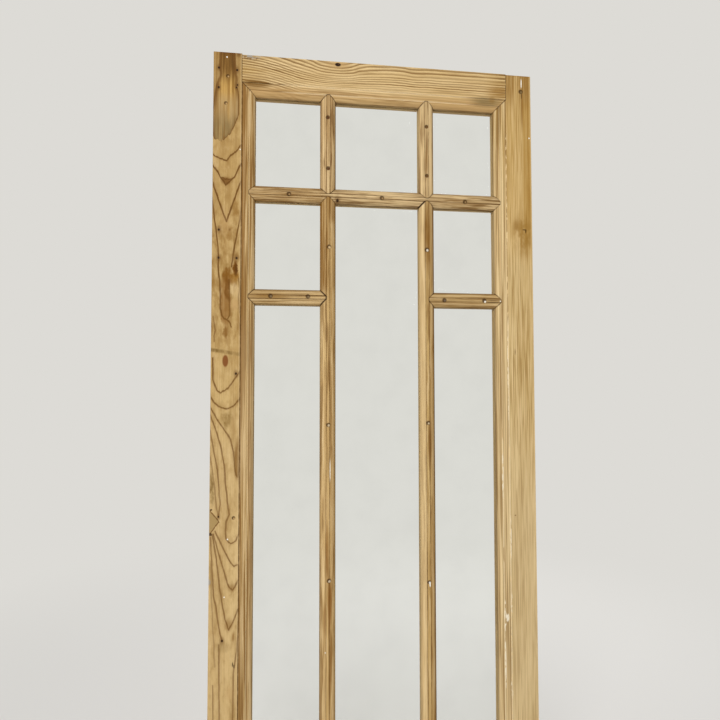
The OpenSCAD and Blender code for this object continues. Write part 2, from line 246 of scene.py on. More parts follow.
class Board:
    """A pine material under construction: its grain axes, colour, relief and gloss."""

    def __init__(self, name, upright):
        self.material = bpy.data.materials.new(name)
        self.material.use_nodes = True
        self.tree = self.material.node_tree
        self.tree.nodes.clear()
        self.upright = upright
        place = self.tree.nodes.new("ShaderNodeTexCoord")
        split = self.tree.nodes.new("ShaderNodeSeparateXYZ")
        self.tree.links.new(place.outputs["Object"], split.inputs[0])
        self.at = Shade(self.tree, place.outputs["Object"])
        self.x, self.y, self.z = [Shade(self.tree, out) for out in split.outputs]
        self.along, self.across = (self.z, self.x) if upright else (self.x, self.z)
        self.depth = self.y - FRONT
        self.front = self.depth.ramp(FRONT_DEPTH, FRONT_DEPTH + MM, 1.0, 0.0)
        self.fibres = None
        self.colour = None
        self.relief = None
        self.rough = None

    def noise(self, along, across, detail=2.0, seed=0.0, roughness=0.5):
        """Soft cloudiness with so many clouds per metre along and across the grain."""
        spread = self.tree.nodes.new("ShaderNodeMapping")
        feed(self.tree, spread.inputs["Vector"], self.at)
        scale = (across, across, along) if self.upright else (along, across, across)
        spread.inputs["Scale"].default_value = scale
        spread.inputs["Location"].default_value = (seed, seed, seed)
        node = self.tree.nodes.new("ShaderNodeTexNoise")
        self.tree.links.new(spread.outputs[0], node.inputs["Vector"])
        node.inputs["Scale"].default_value = 1.0
        node.inputs["Detail"].default_value = detail
        node.inputs["Roughness"].default_value = roughness
        return Shade(self.tree, node.outputs[0])

    def pick(self, number, seed=0.0):
        """A steady random share for each whole number."""
        node = self.tree.nodes.new("ShaderNodeTexWhiteNoise")
        node.noise_dimensions = "1D"
        feed(self.tree, node.inputs["W"], number + seed)
        return Shade(self.tree, node.outputs["Value"])

    def bent(self, across, along, seed):
        """Places on the face moved about by up to so many millimetres, for ragged stains."""
        node = self.tree.nodes.new("ShaderNodeTexNoise")
        feed(self.tree, node.inputs["Vector"], self.at)
        node.inputs["Scale"].default_value = 55.0 + seed
        node.inputs["Detail"].default_value = 3.0
        moved = Shade(self.tree, node.outputs["Color"])
        reach = Vector((across, 0.0, along)) * MM
        moved = vector_calc(self.tree, "MULTIPLY_ADD", moved, tuple(reach * 2), tuple(-reach))
        return vector_calc(self.tree, "ADD", moved, self.at)

    def spot(self, x, z, half_x, half_z, soft=0.5, at=None):
        """1 inside an ellipse on the face, in millimetres, and 0 beyond its soft edge and at the back."""
        wide, high, deep = half_x * MM, half_z * MM, MARK_DEPTH
        to_circle = (1 / wide, 1 / deep, 1 / high)
        middle = (-x * MM / wide, -FRONT / deep, -z * MM / high)
        inside = vector_calc(self.tree, "MULTIPLY_ADD", at or self.at, to_circle, middle)
        return vector_calc(self.tree, "LENGTH", inside).ramp(1 - soft, 1 + soft, 1.0, 0.0)

    def off_line(self, at, points):
        """Distance on the face from a line through points given in millimetres."""
        group = bpy.data.node_groups.new("grain line", "ShaderNodeTree")
        group.interface.new_socket("at", in_out="INPUT", socket_type="NodeSocketVector")
        group.interface.new_socket("distance", in_out="OUTPUT", socket_type="NodeSocketFloat")
        here = Shade(group, group.nodes.new("NodeGroupInput").outputs["at"])
        nearest = None
        for (x0, z0), (x1, z1) in zip(points, points[1:]):
            start = Vector((x0, 0, z0)) * MM
            span = Vector((x1 - x0, 0, z1 - z0)) * MM
            share = span / span.length_squared
            begin = start.dot(share)
            along = vector_calc(group, "DOT_PRODUCT", here, tuple(share)).most(begin).least(begin + 1)
            foot = vector_calc(group, "ADD", stretched(group, span, along), tuple(start - span * begin))
            distance = vector_calc(group, "DISTANCE", here, foot)
            nearest = distance if nearest is None else nearest.least(distance)
        feed(group, group.nodes.new("NodeGroupOutput").inputs["distance"], nearest)
        line = self.tree.nodes.new("ShaderNodeGroup")
        line.node_tree = group
        feed(self.tree, line.inputs["at"], at)
        return Shade(self.tree, line.outputs["distance"])

    def end_grain(self):
        """1 where the surface is cut square across the grain."""
        place = self.tree.nodes.new("ShaderNodeTexCoord")
        split = self.tree.nodes.new("ShaderNodeSeparateXYZ")
        self.tree.links.new(place.outputs["Normal"], split.inputs[0])
        facing = Shade(self.tree, split.outputs[2 if self.upright else 0])
        return abs(facing).ramp(0.8, 0.95)

    def tint(self, colour, share):
        """Turns the wood to a colour by a share."""
        self.colour = blended(self.tree, self.colour, colour, share)

    def stain(self, colour, place, share, at=None):
        """Turns a soft-edged ellipse, given as spot takes it, to a colour by a share."""
        self.tint(colour, self.spot(*place, at=at) * share)

    def sink(self, share, deep):
        """Lowers the surface where the share is high."""
        self.relief = self.relief - share * deep

    def finish(self):
        """Wires colour, gloss and relief into the shader."""
        shader = self.tree.nodes.new("ShaderNodeBsdfPrincipled")
        shader.inputs["Specular IOR Level"].default_value = 0.08
        feed(self.tree, shader.inputs["Base Color"], self.colour)
        feed(self.tree, shader.inputs["Roughness"], self.rough)
        bump = self.tree.nodes.new("ShaderNodeBump")
        bump.inputs["Strength"].default_value = 0.6
        bump.inputs["Distance"].default_value = 1.0
        feed(self.tree, bump.inputs["Height"], self.relief)
        self.tree.links.new(bump.outputs["Normal"], shader.inputs["Normal"])
        out = self.tree.nodes.new("ShaderNodeOutputMaterial")
        self.tree.links.new(shader.outputs[0], out.inputs["Surface"])
        return self.material


def ring_lines(board, ring, seed=0.0, faint=0.3, bold=0.0):
    """Latewood lines at whole ring numbers: they darken slowly, end sharply and differ in strength."""
    step = ring.part()
    strength = board.pick(ring.whole(), seed) * (1 - faint) + faint
    return step.ramp(0.3 - 0.15 * bold, 0.8 - 0.15 * bold) * step.ramp(0.84, 1.0, 1.0, 0.0) * strength


def straight(board, spacing, lean=0.5, sway=12 * MM, seed=0.0):
    """Ring number of nearly straight grain that leans into the depth and sways along the length."""
    wander = board.noise(2.2, 9, detail=1.0, seed=seed) * sway
    jitter = board.noise(16, 110, detail=1.0, seed=seed + 2.0) * (1.6 * MM)
    return (board.across + board.depth * lean + wander + jitter) / spacing


def lay_pine(board, tones, lines, seed, bands=0.6, fibre=0.35, dashes=0.25):
    """Base of a board: drifting tone, bands, fibres, dashes, latewood lines, end grain and relief."""
    pale, tan, late = tones
    drift = board.noise(4, 34, detail=2.0, seed=seed + 3.1)
    band = board.noise(3, 190, detail=3.0, seed=seed + 5.3, roughness=0.6)
    board.fibres = board.noise(11, 460, detail=3.0, seed=seed + 7.7, roughness=0.65)
    board.colour = blended(board.tree, pale, tan, drift.ramp(0.3, 0.7))
    board.tint(tan, band.ramp(0.42, 0.62) * bands)
    board.tint(late, band.ramp(0.52, 0.72) * (bands * 0.7))
    board.tint(late, board.fibres.ramp(0.48, 0.8) * fibre)
    dash = board.noise(10, 290, detail=1.5, seed=seed + 9.9)
    board.tint(late, dash.ramp(0.5, 0.66) * dashes)
    board.tint(PALE_PINE, dash.ramp(0.48, 0.34) * dashes)
    board.tint(late, lines * (board.fibres * 0.7 + 0.6).least(1.0))
    board.tint(TAN_PINE, board.end_grain() * 0.6)
    board.relief = board.fibres * (0.12 * MM) + lines * (0.1 * MM)
    board.rough = board.fibres * 0.1 + 0.58 - lines * 0.08


def mottle(board, dark, amount, seed, along=13, across=46):
    """Cloudy darker and paler places, as old stripped wood has."""
    cloud = board.noise(along, across, detail=4.0, seed=seed, roughness=0.62)
    board.tint(dark, cloud.ramp(0.48, 0.72) * amount)
    board.tint(PALE_PINE, cloud.ramp(0.46, 0.28) * (amount * 0.6))


def crease(distance, half):
    """1 on a line and 0 at half its width from it."""
    return abs(distance).ramp(half * 0.3, half, 1.0, 0.0)


def pointed_cut(from_middle, from_sight, half):
    """1 on the pointed cut, with its blunt tip, where a bar is mitred into a moulding."""
    slopes = crease((abs(from_middle) + from_sight - HALF_BAR) * DIAGONAL, half)
    tip = crease(from_sight - QUIRK, half) * abs(from_middle).ramp(STRIP, STRIP + MM, 1.0, 0.0)
    return (slopes * from_sight.ramp(QUIRK, QUIRK + MM, 1.0, 0.0)).most(tip)


def dirt_and_shade_line(board, mask, amount=0.8, deep=0.4 * MM, colour=DIRT_AND_SHADOW_BROWN):
    """A dark line, broken up here and there and a little open: dirt in joints, and dirt with painted shade
    in quirks and beside strips.
    """
    broken = board.noise(70, 70, detail=2.0, seed=11.0).ramp(0.3, 0.58, 0.4, 1.0)
    board.tint(colour, mask * broken * amount)
    board.sink(mask, deep)


def nail_holes(board, places, radius=2.4):
    """Small black nail holes at places given in millimetres, with a rusty halo."""
    hole = strongest([board.spot(x, z, radius, radius * 1.15, 0.35) for x, z in places])
    halo = strongest([board.spot(x, z, 2.0 * radius, 3.4 * radius, 0.6) for x, z in places])
    board.tint(DEEP_LATEWOOD_AND_SHADE, halo * 0.5)
    board.tint(NAIL_BLACK, hole * 0.95)
    board.sink(hole, 0.5 * MM)


def filled_nails(board, places, fill, radius=3.6, middle=0.55):
    """Nail heads stopped with filler: a dark ring about a paler middle, at places in millimetres."""
    # The ring sits up and to the left and the core down and to the right, so the dark ring is widest at the
    # upper left: a dark ring with painted shade in the filled hollow
    ring = strongest([board.spot(x - 0.3, z + 0.3, 1.1 * radius, 1.1 * radius, 0.3) for x, z in places])
    inner = middle * radius
    core = strongest([board.spot(x + 0.8, z - 0.9, inner, 1.1 * inner, 0.4) for x, z in places])
    board.tint(DIRT_AND_SHADOW_BROWN, ring * 0.85)
    board.tint(fill, core * 0.85)
    board.sink(ring, 0.5 * MM)


def paint_specks(board, places):
    """Small specks of old white paint: place and half sizes in millimetres."""
    specks = strongest([board.spot(*place, 0.35) for place in places])
    board.tint(OLD_PAINT, specks)


def frame_moulding(board, u, reed, seed, late, amount, light=PALE_PINE):
    """Reeded look of the moulding on a stile or rail: close straight lines, light and dark."""
    ring = straight(board, 4.6 * MM, lean=0.8, sway=5 * MM, seed=seed)
    on_moulding = u.ramp(MOULDING - MM, MOULDING, 1.0, 0.0) * board.front
    board.tint(light, reed.ramp(0.49, 0.42) * on_moulding * (amount * 0.85))
    board.tint(late, reed.ramp(0.51, 0.58) * on_moulding * amount)
    board.tint(late, ring_lines(board, ring, seed, 0.1, 0.5) * on_moulding * amount)
    return on_moulding


def pale_painted_quirk(board, u, amount):
    """Paler colour painted into the inner quirk against its own shade, so that it hardly shows as a line.
    """
    board.tint(srgb(236, 212, 164), u.near(INNER_QUIRK, 0.8 * MM, 0.6 * MM) * board.front * amount)


def quirk_dirt_and_shade(board, u, inner, outer, sight):
    """Brown dirt with painted shade in the two quirks, and a painted shadow along the sight edge of a stile
    or rail, each by its own amount.
    """
    # Dirt with painted shade in both quirks
    first = u.near(INNER_QUIRK, 0.7 * MM, 1.0 * MM) * board.front
    second = u.near(OUTER_QUIRK, 0.9 * MM, 1.3 * MM) * board.front
    dirt_and_shade_line(board, first, inner, 0.0, DEEP_LATEWOOD_AND_SHADE)
    dirt_and_shade_line(board, second, outer, 0.0, DEEP_LATEWOOD_AND_SHADE)
    # Painted shadow along the sight edge
    board.tint(DIRT_AND_SHADOW_BROWN, u.ramp(0.2 * MM, 1.8 * MM, 1.0, 0.0) * board.front * sight)


def stile_joints(board, u):
    """Joint lines of a stile: mitres and shoulders of both rails, and the pointed bar ends."""
    lines = []
    for sight, sign in ((TOP_SIGHT, 1), (BOTTOM_SIGHT, -1)):
        above = (board.z - sight) * sign
        on_moulding = u.ramp(MOULDING, MOULDING + 0.5 * MM, 1.0, 0.0)
        lines.append(crease((u - above) * DIAGONAL, 1.3 * MM) * on_moulding)
        lines.append(crease(u - MOULDING, 1.2 * MM) * above.ramp(MOULDING - MM, MOULDING))
    for z in (CROSS_Z, MARGIN_Z):
        lines.append(pointed_cut(board.z - z, u, 1.4 * MM))
    return strongest(lines) * board.front


def rail_joints(board, u):
    """Joint lines of a rail: mitres and shoulders at both ends, and the pointed bar ends."""
    past = abs(board.x) - SIGHT_X
    on_moulding = u.ramp(MOULDING, MOULDING + 0.5 * MM, 1.0, 0.0)
    lines = [crease((u - past) * DIAGONAL, 1.3 * MM) * on_moulding]
    lines.append(crease(past - MOULDING, 1.2 * MM) * u.ramp(MOULDING - MM, MOULDING))
    for x in (-UPRIGHT_X, UPRIGHT_X):
        lines.append(pointed_cut(board.x - x, u, 1.4 * MM))
    return strongest(lines) * board.front


# Latewood lines on the face of the left stile: strength, then places along the line in millimetres
LEFT_STILE_GRAIN = (
    (0.9, ((-385, 1743), (-370, 1735), (-350, 1728), (-343, 1738), (-329, 1750), (-318, 1767))),
    (1.0, ((-383, 1719), (-371, 1703), (-362, 1689), (-351, 1672), (-343, 1681), (-332, 1692),
           (-316, 1727))),
    (0.8, ((-364, 1692), (-353, 1685), (-341, 1686))),
    (1.0, ((-383, 1682), (-377, 1665), (-360, 1617), (-349, 1588), (-343, 1606), (-335, 1631),
           (-316, 1688))),
    (0.85, ((-382, 1636), (-372, 1568), (-367, 1528), (-366, 1483), (-362, 1437), (-361, 1392),
            (-358, 1374), (-352, 1366), (-344, 1363), (-339, 1358), (-337, 1349))),
    (0.85, ((-315, 1619), (-322, 1581), (-327, 1555), (-333, 1518), (-337, 1486))),
    (0.7, ((-342, 1455), (-342, 1426), (-341, 1398), (-340, 1375), (-345, 1366))),
    (0.95, ((-377, 1279), (-376, 1229), (-367, 1206), (-359, 1200), (-344, 1209), (-328, 1232),
            (-314, 1251))),
    (0.95, ((-382, 1196), (-374, 1180), (-363, 1169), (-347, 1164), (-332, 1169), (-321, 1181),
            (-314, 1195))),
    (0.9, ((-381, 1168), (-365, 1139), (-349, 1117), (-336, 1095), (-329, 1068), (-327, 1039),
           (-324, 1017), (-320, 1012), (-317, 1030), (-315, 1061))),
    (0.9, ((-381, 1150), (-367, 1114), (-358, 1082), (-349, 1039), (-345, 984), (-338, 929),
           (-344, 915), (-346, 893), (-344, 877), (-338, 868), (-332, 866), (-323, 871), (-315, 890))),
    (0.85, ((-381, 1116), (-373, 1073), (-364, 1029), (-360, 984), (-358, 951), (-361, 924))),
    (0.6, ((-380, 1058), (-369, 985), (-366, 946), (-361, 927))),
    (0.9, ((-368, 893), (-353, 861), (-339, 833), (-333, 823), (-326, 815), (-318, 819))),
    (0.9, ((-372, 887), (-360, 847), (-341, 781), (-337, 771), (-330, 764), (-324, 770), (-316, 787))),
    (0.9, ((-374, 885), (-365, 837), (-357, 768), (-345, 702), (-337, 678), (-328, 693), (-318, 720))),
    (0.85, ((-378, 880), (-373, 795), (-370, 755), (-363, 717), (-356, 673), (-351, 655))),
    (0.45, ((-377, 830), (-375, 761), (-372, 707), (-366, 600))),
    (0.8, ((-358, 646), (-356, 507), (-352, 380), (-342, 285), (-333, 370), (-326, 505), (-326, 582),
           (-323, 606), (-316, 670))),
    (0.6, ((-370, 560), (-366, 330), (-354, 160), (-343, 105), (-330, 180), (-316, 420))),
    (0.5, ((-321, 1458), (-319, 1435), (-321, 1418), (-319, 1381))),
    (0.5, ((-377, 1372), (-371, 1340), (-375, 1328), (-374, 1316))),
    (0.5, ((-318, 1356), (-316, 1336), (-315, 1316))),
)

# Left and right edge of the dark heart at the top of the left stile: height and x in millimetres
HEART_LEFT = (
    (1774, -362), (1776, -371), (1780, -378), (1802, -382.5), (1819, -383.5), (1852, -380), (1896, -375),
    (1916, -370), (1931, -367), (1943, -369), (1982, -367),
)
HEART_RIGHT = (
    (1774, -362), (1776, -357), (1782, -353), (1791, -344), (1808, -335), (1829, -327), (1841, -324),
    (1858, -324), (1893, -326), (1908, -329), (1920, -327), (1934, -329), (1982, -332),
)

# Nails of the left stile as places in millimetres, and its paint specks with their half sizes
LEFT_STILE_HOLES = (
    (-369, 1944), (-328, 1941), (-369, 1898), (-366, 1569),
    (-366, 1505), (-326, 1505), (-325.5, 1243), (-351, 654.5),
)
LEFT_STILE_FILLED = ((-348.5, 1925.6), (-352.5, 1862), (-328, 921.5))
LEFT_STILE_PAINT = (
    (-351, 1970, 1.6, 1.8), (-347.3, 749, 1.5, 1.5), (-341, 875, 1.6, 1.6), (-320, 1756, 1.3, 1.6),
)


def stile_heart(board, u):
    """Dark heartwood at the top of the left stile: brown above, honey in the middle, grey at the foot."""
    ragged = (board.noise(25, 300, detail=1.0, seed=5.0) - 0.5) * (9 * MM)
    streak = board.noise(6, 190, detail=3.0, seed=8.0, roughness=0.62)
    z = board.z + ragged
    from_left = board.x - z.curve(HEART_LEFT)
    from_right = z.curve(HEART_RIGHT) - board.x
    reach = from_left.least(from_right)
    heart = reach.ramp(-0.6 * MM, 1.4 * MM) * z.ramp(1.774, 1.778) * board.front
    beside = z.ramp(1.80, 1.86) * u.ramp(MOULDING, MOULDING + MM) * board.front
    beside = beside * board.x.ramp(-0.345, -0.325, 1.0, 0.7)
    board.tint(srgb(140, 104, 52), beside * streak.ramp(0.38, 0.6, 0.4, 0.9))
    board.tint(HEARTWOOD, heart * streak.ramp(0.36, 0.62, 0.3, 0.9) * z.ramp(1.84, 1.91, 0.45, 1.0))
    honey = heart * board.spot(-349, 1893, 20, 36, 0.7)
    board.tint(HONEY_PINE, honey * streak.ramp(0.4, 0.6, 0.7, 0.1))
    grey_band = heart * board.z.near(1.846, 0.018, 0.03)
    board.tint(srgb(178, 150, 104), grey_band * streak.ramp(0.4, 0.6, 0.7, 0.2))
    foot = heart * board.z.ramp(1.808, 1.852, 1.0, 0.0)
    board.tint(GREY_BROWN, foot * streak.ramp(0.35, 0.6, 0.4, 0.9))
    board.tint(LATEWOOD, foot * streak.ramp(0.54, 0.64) * 0.6)
    board.tint(HONEY_PINE, heart * board.spot(-346, 1842, 3, 22, 0.7) * 0.25)
    head = heart * board.z.ramp(1.90, 1.952)
    board.tint(srgb(122, 86, 36), head * 0.8)
    board.tint(srgb(88, 58, 22), head * streak.ramp(0.45, 0.6) * 0.7)
    outline = crease(reach, 1.9 * MM) * z.ramp(1.772, 1.774) * z.ramp(1.90, 1.93, 1.0, 0.4)
    left_rim = from_left.near(2 * MM, 1 * MM, 5 * MM) * z.ramp(1.84, 1.88, 0.3, 0.75) * heart
    right_rim = from_right.near(2 * MM, 1 * MM, 5 * MM) * z.ramp(1.86, 1.90, 0.25, 0.75) * heart
    board.tint(DEEP_LATEWOOD_AND_SHADE, strongest([outline, left_rim, right_rim]) * board.front * 0.85)
    top = board.z.ramp(1.966, 1.980) * board.x.ramp(-0.372, -0.362) * board.front
    board.tint(DEEP_LATEWOOD_AND_SHADE, top * streak.ramp(0.35, 0.6, 0.35, 0.85))


def left_stile_stains(board, flat):
    """Stains and patches down the face of the left stile."""
    cloud = board.noise(40, 110, detail=3.0, seed=9.0, roughness=0.6)
    ragged = board.bent(9, 16, 0.0)
    tongue = board.spot(-351, 1410, 10.5, 58, 0.25, ragged)
    board.tint(srgb(140, 98, 46), tongue * board.fibres.ramp(0.3, 0.7, 0.55, 0.95))
    board.stain(srgb(140, 104, 44), (-350, 1479, 11, 14, 0.5), cloud.ramp(0.36, 0.6, 0.2, 0.8), ragged)
    board.stain(srgb(146, 102, 36), (-332, 1462, 9, 13, 0.4), cloud.ramp(0.3, 0.6, 0.6, 0.95), ragged)
    board.stain(srgb(124, 80, 20), (-345.5, 1464, 10, 18, 0.4), cloud.ramp(0.36, 0.6, 0.5, 0.95), ragged)
    board.stain(srgb(116, 74, 22), (-347, 1433, 5.5, 25, 0.4), cloud.ramp(0.3, 0.6, 0.55, 0.9), ragged)
    streaky = board.bent(5, 3, 60.0)
    board.stain(ORANGE_STAIN, (-328.5, 1482, 5.4, 16, 0.4), 1.0, streaky)
    board.stain(srgb(80, 48, 10), (-327.5, 1480, 3.4, 14, 0.6), 0.75, streaky)
    board.stain(PALE_PINE, (-332, 1437, 6, 13, 0.5), 0.35, ragged)
    board.stain(TAN_PINE, (-330, 1398, 8, 12, 0.6), 0.7)
    board.stain(HEARTWOOD, (-377, 1452, 5, 20, 0.5), 0.5)
    board.stain(HEARTWOOD, (-342, 1561, 5, 16, 0.5), 0.6, ragged)
    board.stain(DEEP_LATEWOOD_AND_SHADE, (-342, 1570, 2.6, 3, 0.6), 0.5)
    board.stain(HEARTWOOD, (-331, 1617, 8, 17, 0.6), cloud.ramp(0.3, 0.6, 0.2, 0.7), ragged)
    board.stain(LATEWOOD, (-349, 1336, 6, 14, 0.4), cloud.ramp(0.3, 0.6, 0.4, 0.95), ragged)
    board.stain(RED_KNOT, (-349, 1271.5, 6.3, 13.4, 0.22), 0.95)
    smudge = crease(board.z + board.x * 0.16 - 1.2357, 6 * MM) * board.front * flat
    board.tint(GREY_GREEN, smudge * board.x.ramp(-0.36, -0.32, 1.0, 0.6) * cloud.ramp(0.3, 0.6, 0.3, 0.95))
    board.stain(srgb(134, 104, 52), (-345, 1143, 12, 15, 0.5), cloud.ramp(0.3, 0.6, 0.35, 0.85), ragged)
    board.stain(HEARTWOOD, (-330, 1120, 5, 30, 0.8), 0.4)
    patch = board.spot(-320, 1058, 10, 52, 0.25) * board.spot(-317, 1040, 11, 62, 0.3) * flat
    board.tint(srgb(134, 98, 48), patch * board.fibres.ramp(0.3, 0.7, 0.6, 0.98))
    board.stain(GREY_GREEN, (-376, 988, 5, 34, 0.6), cloud.ramp(0.3, 0.6, 0.3, 0.9), ragged)
    board.stain(srgb(116, 76, 28), (-351, 1682, 10, 8, 0.5), 0.85)
    board.stain(TAN_PINE, (-352, 1590, 9, 26, 0.8), 0.4)
    board.stain(LATEWOOD, (-330, 769, 7, 8, 0.7), 0.5)
    board.stain(LATEWOOD, (-337, 689, 8, 12, 0.7), 0.55)
    board.stain(GREY_GREEN, (-350, 641, 12, 10, 0.8), 0.35)
    board.stain(LATEWOOD, (-327, 661, 1.6, 9, 0.5), 0.7)
    board.stain(TAN_PINE, (-333, 540, 8, 14, 0.7), 0.45)


def left_stile_patch(board, at):
    """Three-cornered patch let into the outer edge of the left stile, with a dark outline."""
    corner = 0.360
    inside = (board.x * -1 - corner) * (1 / 0.79) - abs(board.z - 0.914)
    mask = inside.ramp(-0.5 * MM, 0.5 * MM) * board.front
    board.tint(srgb(160, 132, 84), mask * 0.85)
    outline = board.off_line(at, ((-381, 942), (-360, 914), (-381, 886)))
    board.tint(DEEP_LATEWOOD_AND_SHADE, outline.ramp(0.5 * MM, 1.8 * MM, 1.0, 0.0) * board.front * 0.85)
    ends = strongest([board.spot(-378, 887, 3.5, 3.5, 0.4), board.spot(-377, 941, 2.6, 2, 0.4)])
    board.tint(DIRT_AND_SHADOW_BROWN, ends * 0.9)


def left_stile_pine():
    """Flat-sawn stile with drawn-out grain arches, nail holes, stains and a dark heart at the top."""
    board = Board("left stile pine", True)
    u = board.x * -1 - SIGHT_X
    flat = u.ramp(MOULDING - 0.5 * MM, MOULDING + 0.5 * MM)
    rough_edge = board.noise(18, 240, detail=2.0, seed=1.0) - 0.5
    at_x = board.x + (board.noise(34, 70, detail=4.0, seed=2.0, roughness=0.65) - 0.5) * (4 * MM)
    at_z = board.z + rough_edge * (6 * MM) - board.depth * 12
    at = triple(board.tree, at_x, 0.0, at_z)
    uneven = rough_edge * 0.8 + 1.0
    lines = None
    haze = None
    for strength, points in LEFT_STILE_GRAIN:
        distance = board.off_line(at, points) * uneven
        line = distance.ramp(0.6 * MM, 2.5 * MM, strength, 0.0)
        soft = distance.ramp(0.0, 9 * MM, strength, 0.0, smooth=False)
        lines = line if lines is None else lines.most(line)
        haze = soft if haze is None else haze.most(soft)
    lines = lines * flat * board.z.ramp(1.20, 1.36, 0.72, 1.0) * board.depth.ramp(0.0, 20 * MM, 1.0, 0.6)
    tones = (srgb(200, 169, 113), srgb(184, 151, 95), srgb(98, 62, 14))
    lay_pine(board, tones, lines, 1.0, bands=0.15, fibre=0.2, dashes=0.12)
    board.tint(PALE_PINE, board.z.ramp(1.05, 1.22, 0.24, 0.0))
    mottle(board, srgb(152, 118, 66), 0.55, 13.0)
    mottle(board, srgb(150, 114, 60), 0.3, 15.0, 60, 130)
    stained = board.z.ramp(1.18, 1.38) * board.z.ramp(1.54, 1.68, 1.0, 0.4) * flat * board.front
    blotch = board.noise(24, 60, detail=4.0, seed=14.0, roughness=0.65)
    board.tint(srgb(140, 102, 46), stained * blotch.ramp(0.4, 0.66, 0.05, 0.75))
    board.tint(LATEWOOD, haze * haze * flat * board.front * 0.4)
    left_stile_stains(board, flat)
    stile_heart(board, u)
    board.tint(tones[2], lines * board.front * board.fibres.ramp(0.2, 0.6, 0.35, 0.75))
    left_stile_patch(board, at)
    board.tint(srgb(170, 136, 84), u.ramp(MOULDING - MM, MOULDING, 1.0, 0.0) * board.front * 0.6)
    reed = board.noise(5, 250, detail=2.5, seed=8.0)
    on_moulding = frame_moulding(board, u, reed, 4.0, srgb(118, 80, 32), 0.74)
    # Brown along the outer band of the moulding, stronger further up: brown colour with painted shade, as
    # the band faces away from the light
    brown_and_shaded_band = u.near(26.5 * MM, 2.5 * MM, 3 * MM) * board.front
    board.tint(srgb(134, 94, 40), brown_and_shaded_band * board.z.ramp(1.1, 1.3, 0.2, 0.6))
    board.tint(PALE_PINE, on_moulding * board.z.near(1.17, 0.13, 0.12) * 0.15)
    board.tint(LATEWOOD, on_moulding * board.z.ramp(1.58, 1.70, 0.0, 0.14))
    pale_side = u.near(5.5 * MM, 3 * MM, 2.5 * MM) * board.front
    board.tint(PALE_PINE, pale_side * board.z.ramp(1.1, 1.35, 0.3, 0.04))
    nest = ((u - 7 * MM) / (2.2 * MM)) ** 2 + board.z / (95 * MM) + rough_edge * 0.4
    ovals = ring_lines(board, nest, 6.0, 0.2) * u.near(7 * MM, 3.5 * MM, MM)
    board.tint(LATEWOOD, ovals * board.front * 0.8)
    rim = u.near(MOULDING + 1.8 * MM, MM, MM) * on_moulding.ramp(0, 1, 1.0, 0.0)
    board.tint(PALE_PINE, rim * 0.25)
    pale_painted_quirk(board, u, 0.45)
    quirk_dirt_and_shade(board, u, 0.0, 0.7, 0.5)
    dirt_and_shade_line(board, stile_joints(board, u), 0.75)
    nail_holes(board, LEFT_STILE_HOLES)
    nail_holes(board, ((-327, 1906), (-329, 1900), (-361, 925)), 1.8)
    filled_nails(board, LEFT_STILE_FILLED, TAN_PINE)
    scars = [board.spot(-328, 602, 1.3, 5, 0.4), board.spot(-325, 598, 1.2, 4, 0.4)]
    board.tint(NAIL_BLACK, strongest(scars) * 0.8)
    paint_specks(board, LEFT_STILE_PAINT)
    board.stain(WEATHERED, (-380, 783, 3, 6, 0.4), 0.8)
    return board.finish()


# Thick paint in the quirks of the right stile: place, half sizes in millimetres and softness
RIGHT_STILE_PAINT = (
    (301.5, 672, 2.4, 34, 0.2), (306.5, 668, 4.5, 9, 0.3), (317, 702, 2.2, 24, 0.2),
    (301, 560, 1.6, 60, 0.2), (315.5, 500, 2.8, 19, 0.2), (317, 850, 1.6, 60, 0.2),
    (315.5, 1240, 1.7, 120, 0.2), (299.5, 1000, 1.8, 60, 0.2),
)


def right_stile_paint(board, u):
    """Old white paint left in both quirks of the right stile, and thicker flecks further down."""
    patchy = board.noise(14, 60, detail=3.0, seed=27.0)
    low = board.z.ramp(1.36, 1.39, 1.0, 0.0)
    in_outer = u.near(OUTER_QUIRK, 0.9 * MM, 0.7 * MM)
    outer = in_outer * patchy.ramp(0.32, 0.44)
    inner = u.near(INNER_QUIRK, 0.7 * MM, 0.7 * MM) * patchy.ramp(0.56, 0.62, 1.0, 0.0)
    inner = inner * board.z.ramp(1.08, 1.12, 1.0, 0.25)
    board.tint(srgb(234, 217, 178), outer.most(inner) * low * board.front * 0.8)
    thick = strongest([board.spot(*place) for place in RIGHT_STILE_PAINT])
    flecks = board.noise(60, 200, detail=2.0, seed=28.0)
    board.tint(srgb(240, 229, 204), thick * flecks.ramp(0.44, 0.54) * board.front * 0.9)
    beads = in_outer * flecks.ramp(0.5, 0.56) * board.z.ramp(1.83, 1.85, 1.0, 0.0)
    board.tint(srgb(236, 214, 168), beads * board.front * 0.8)


